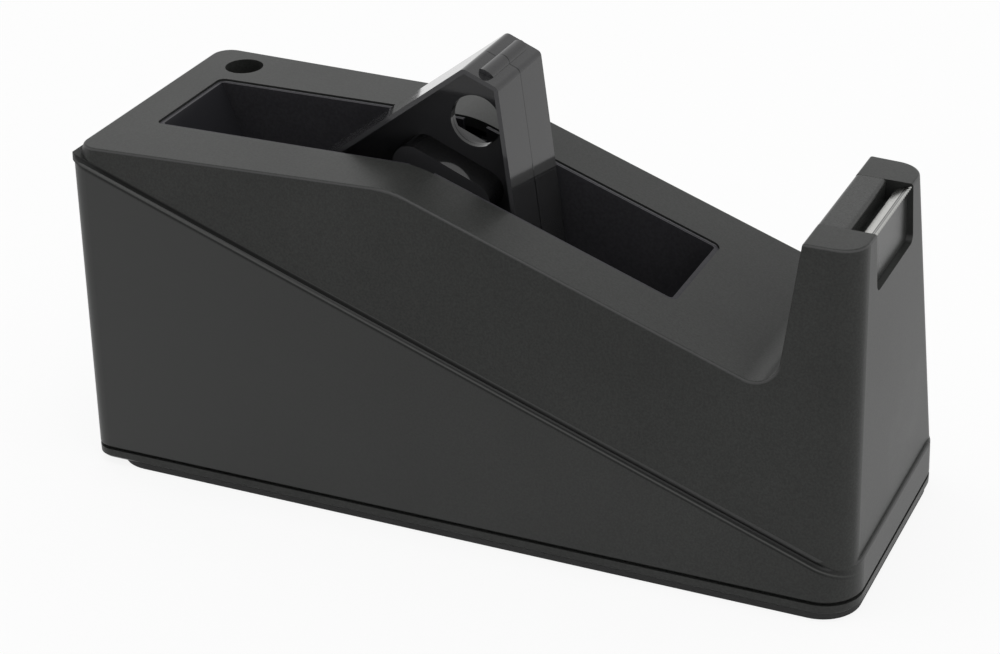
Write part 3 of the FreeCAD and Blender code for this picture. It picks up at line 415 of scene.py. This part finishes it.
# Painted shade and reflection: the strip's colour is darkened along two lines behind the teeth.
strip.links.new(mixed(strip, steel.links[0].from_socket, strip_shade_lines, 1.0, "MULTIPLY"), steel)
wear(["cutter_blade"], spring_strip)


# Axle.  A plain pin of ground steel that lies loose in the well's two notches
# and carries the hub.
ground_steel = metal("ground_steel", colour=(0.60, 0.60, 0.61), roughness=0.25, scale=500.0,
                     stretch=(1, 6, 1), depth=2e-6)
wear(["axle"], ground_steel)


# Hub.  Two polished black styrene trays back to back on the axle, joined on a
# seam round the middle; each corner carries a ridge that grips the roll's core.
# The seam is painted dark as shade, and faces that look along Y carry painted
# light that lifts the shaded webs.
def parting_line():
    """A thin seam on the plane y = 0, where the two halves meet."""
    group, taken, given = opened_group("parting_line", {"Half width": 0.0002}, ("Seam",))
    off = maths(group, "ABSOLUTE", measured(group, "Object", "Y"))
    group.links.new(ranged(group, off, 0.0, taken["Half width"], 1.0, 0.0), given["Seam"])
    return group


def shaded_seam(material, half_width, tone, depth):
    """Paints shade into the seam and sinks it in a moulded finish."""
    tree = material.node_tree
    normal = tree.nodes["Principled BSDF"].inputs["Normal"]
    seam = fitted(tree, "Group", {"Half width": half_width},
                  node_tree=parting_line()).outputs["Seam"]
    lay_painted_shade(material, seam, tone)
    sink = fitted(tree, "Bump", {"Distance": depth, "Height": seam,
                                 "Normal": normal.links[0].from_socket}, invert=True)
    tree.links.new(sink.outputs["Normal"], normal)


TRAY_FLAT_LIGHT_FACES = ((0.6, 0.0), (0.9, 1.0))    # the flat sides of the trays, which face along Y, take painted light
TRAY_FLAT_LIGHT_TONE = (0.050, 0.050, 0.053)

hub_styrene = moulded("hub_styrene", colour=(0.026, 0.026, 0.027), roughness=0.08,
                      rub_roughness=0.12, grain=1500.0, cloud=26.0, contrast=0.15, speck=0.1,
                      depth=5e-7, ior=1.37)
# Painted light: faces that look along Y, the webs inside the trays, take a paler tone.
lay_tone(hub_styrene, turned(hub_styrene.node_tree, "Y", TRAY_FLAT_LIGHT_FACES), TRAY_FLAT_LIGHT_TONE)
# Painted shade: a dark line without sheen along the seam where the halves meet.
shaded_seam(hub_styrene, half_width=0.0003, tone=(0.004, 0.004, 0.004), depth=1e-5)
wear(["hub_near_half", "hub_far_half"], hub_styrene)


# Desk top.  A plain matt white surface under the object, which keeps its
# shadow and stays white to the camera and in reflections.
WHITE = (1.0, 1.0, 1.0, 1.0)
DESK_REACH = 3.0
DESK_WHITE_SHARE = 0.88     # the rest is lit, and shows the shadow


def white_to_eye(tree, surface, kind, share):
    """Lays a share of plain white over a lit surface for camera, glossy and transmission rays."""
    rays = tree.nodes.new("ShaderNodeLightPath").outputs
    seen = maths(tree, "MAXIMUM", rays["Is Camera Ray"], rays["Is Glossy Ray"])
    seen = maths(tree, "MAXIMUM", seen, rays["Is Transmission Ray"])
    plain = fitted(tree, kind, {"Color": WHITE, "Strength": 1.0}).outputs[0]
    return fitted(tree, "MixShader", {"Fac": maths(tree, "MULTIPLY", seen, share),
                                      1: surface, 2: plain}).outputs[0]


def matt_sheet(name, corners, material_name, shade, roughness):
    """A flat sheet of one matt shade that belongs to the scene, not to the object."""
    material, _, shader = opened_material(material_name)
    shader["Base Color"].default_value = (shade, shade, shade, 1.0)
    shader["Roughness"].default_value = roughness
    mesh = bpy.data.meshes.new(name)
    mesh.from_pydata(corners, [], [(0, 1, 2, 3)])
    mesh.materials.append(material)
    sheet = bpy.data.objects.new(name, mesh)
    bpy.context.collection.objects.link(sheet)
    return sheet


floor = matt_sheet("desk_top",
                   [(-DESK_REACH, -DESK_REACH, 0), (DESK_REACH, -DESK_REACH, 0),
                    (DESK_REACH, DESK_REACH, 0), (-DESK_REACH, DESK_REACH, 0)],
                   "desk_white", shade=0.9, roughness=0.9)
desk = floor.data.materials[0].node_tree
lit_desk = desk.nodes["Principled BSDF"].outputs[0]
desk.links.new(white_to_eye(desk, lit_desk, "Emission", DESK_WHITE_SHARE),
               desk.nodes["Material Output"].inputs["Surface"])


# Light.  A white sky all round, one large soft panel overhead, and a card of
# black flock at the left, out of the camera's view, that keeps the side dark.
SKY_STRENGTH = 0.75
PANEL_LONG, PANEL_WIDE = 0.9, 0.5
PANEL_POWER = 5.0
PANEL_SPOT = (0.0, -0.1, 1.3)
CARD_LEFT, CARD_RIGHT = -1.1, 0.4
CARD_NEAR, CARD_FAR = -1.0, -0.85
CARD_LOW, CARD_HIGH = 0.2, 0.8

world = bpy.data.worlds.new("white_sky")
world.use_nodes = True
sky = world.node_tree
lit_sky = sky.nodes["Background"]
lit_sky.inputs["Color"].default_value = WHITE
lit_sky.inputs["Strength"].default_value = SKY_STRENGTH
sky.links.new(white_to_eye(sky, lit_sky.outputs[0], "Background", 1.0),
              sky.nodes["World Output"].inputs["Surface"])
bpy.context.scene.world = world

panel = bpy.data.lights.new("overhead_panel", "AREA")
panel.shape = "RECTANGLE"
panel.size = PANEL_LONG
panel.size_y = PANEL_WIDE
panel.energy = PANEL_POWER
lamp = bpy.data.objects.new("overhead_panel", panel)
lamp.location = PANEL_SPOT
bpy.context.collection.objects.link(lamp)

card = matt_sheet("black_card",
                  [(CARD_LEFT, CARD_NEAR, CARD_LOW), (CARD_RIGHT, CARD_NEAR, CARD_LOW),
                   (CARD_RIGHT, CARD_FAR, CARD_HIGH), (CARD_LEFT, CARD_FAR, CARD_HIGH)],
                  "black_flock", shade=0.01, roughness=1.0)
card.visible_camera = False


# Camera.  A short telephoto lens on the cutter's side of the dispenser, held
# above its deck; the turns are in degrees and the spot is in metres.
CAMERA_YAW, CAMERA_PITCH, CAMERA_ROLL = 25.08, 27.58, -1.63
CAMERA_SPOT = (0.2224, -0.47911, 0.31568)

yaw, pitch, roll = map(math.radians, (CAMERA_YAW, CAMERA_PITCH, CAMERA_ROLL))
ahead = Vector((-math.sin(yaw) * math.cos(pitch), math.cos(yaw) * math.cos(pitch),
                -math.sin(pitch)))
level = Vector((math.cos(yaw), math.sin(yaw), 0.0))
upright = level.cross(ahead)
right = level * math.cos(roll) + upright * math.sin(roll)
up = upright * math.cos(roll) - level * math.sin(roll)
lens = bpy.data.cameras.new("camera")
lens.sensor_width = 36.0
lens.lens = 87.76
camera = bpy.data.objects.new("camera", lens)
camera.matrix_world = (Matrix.Translation(CAMERA_SPOT)
                       @ Matrix((right, up, -ahead)).transposed().to_4x4())
bpy.context.collection.objects.link(camera)
bpy.context.scene.camera = camera
bpy.context.scene.view_settings.view_transform = "Standard"
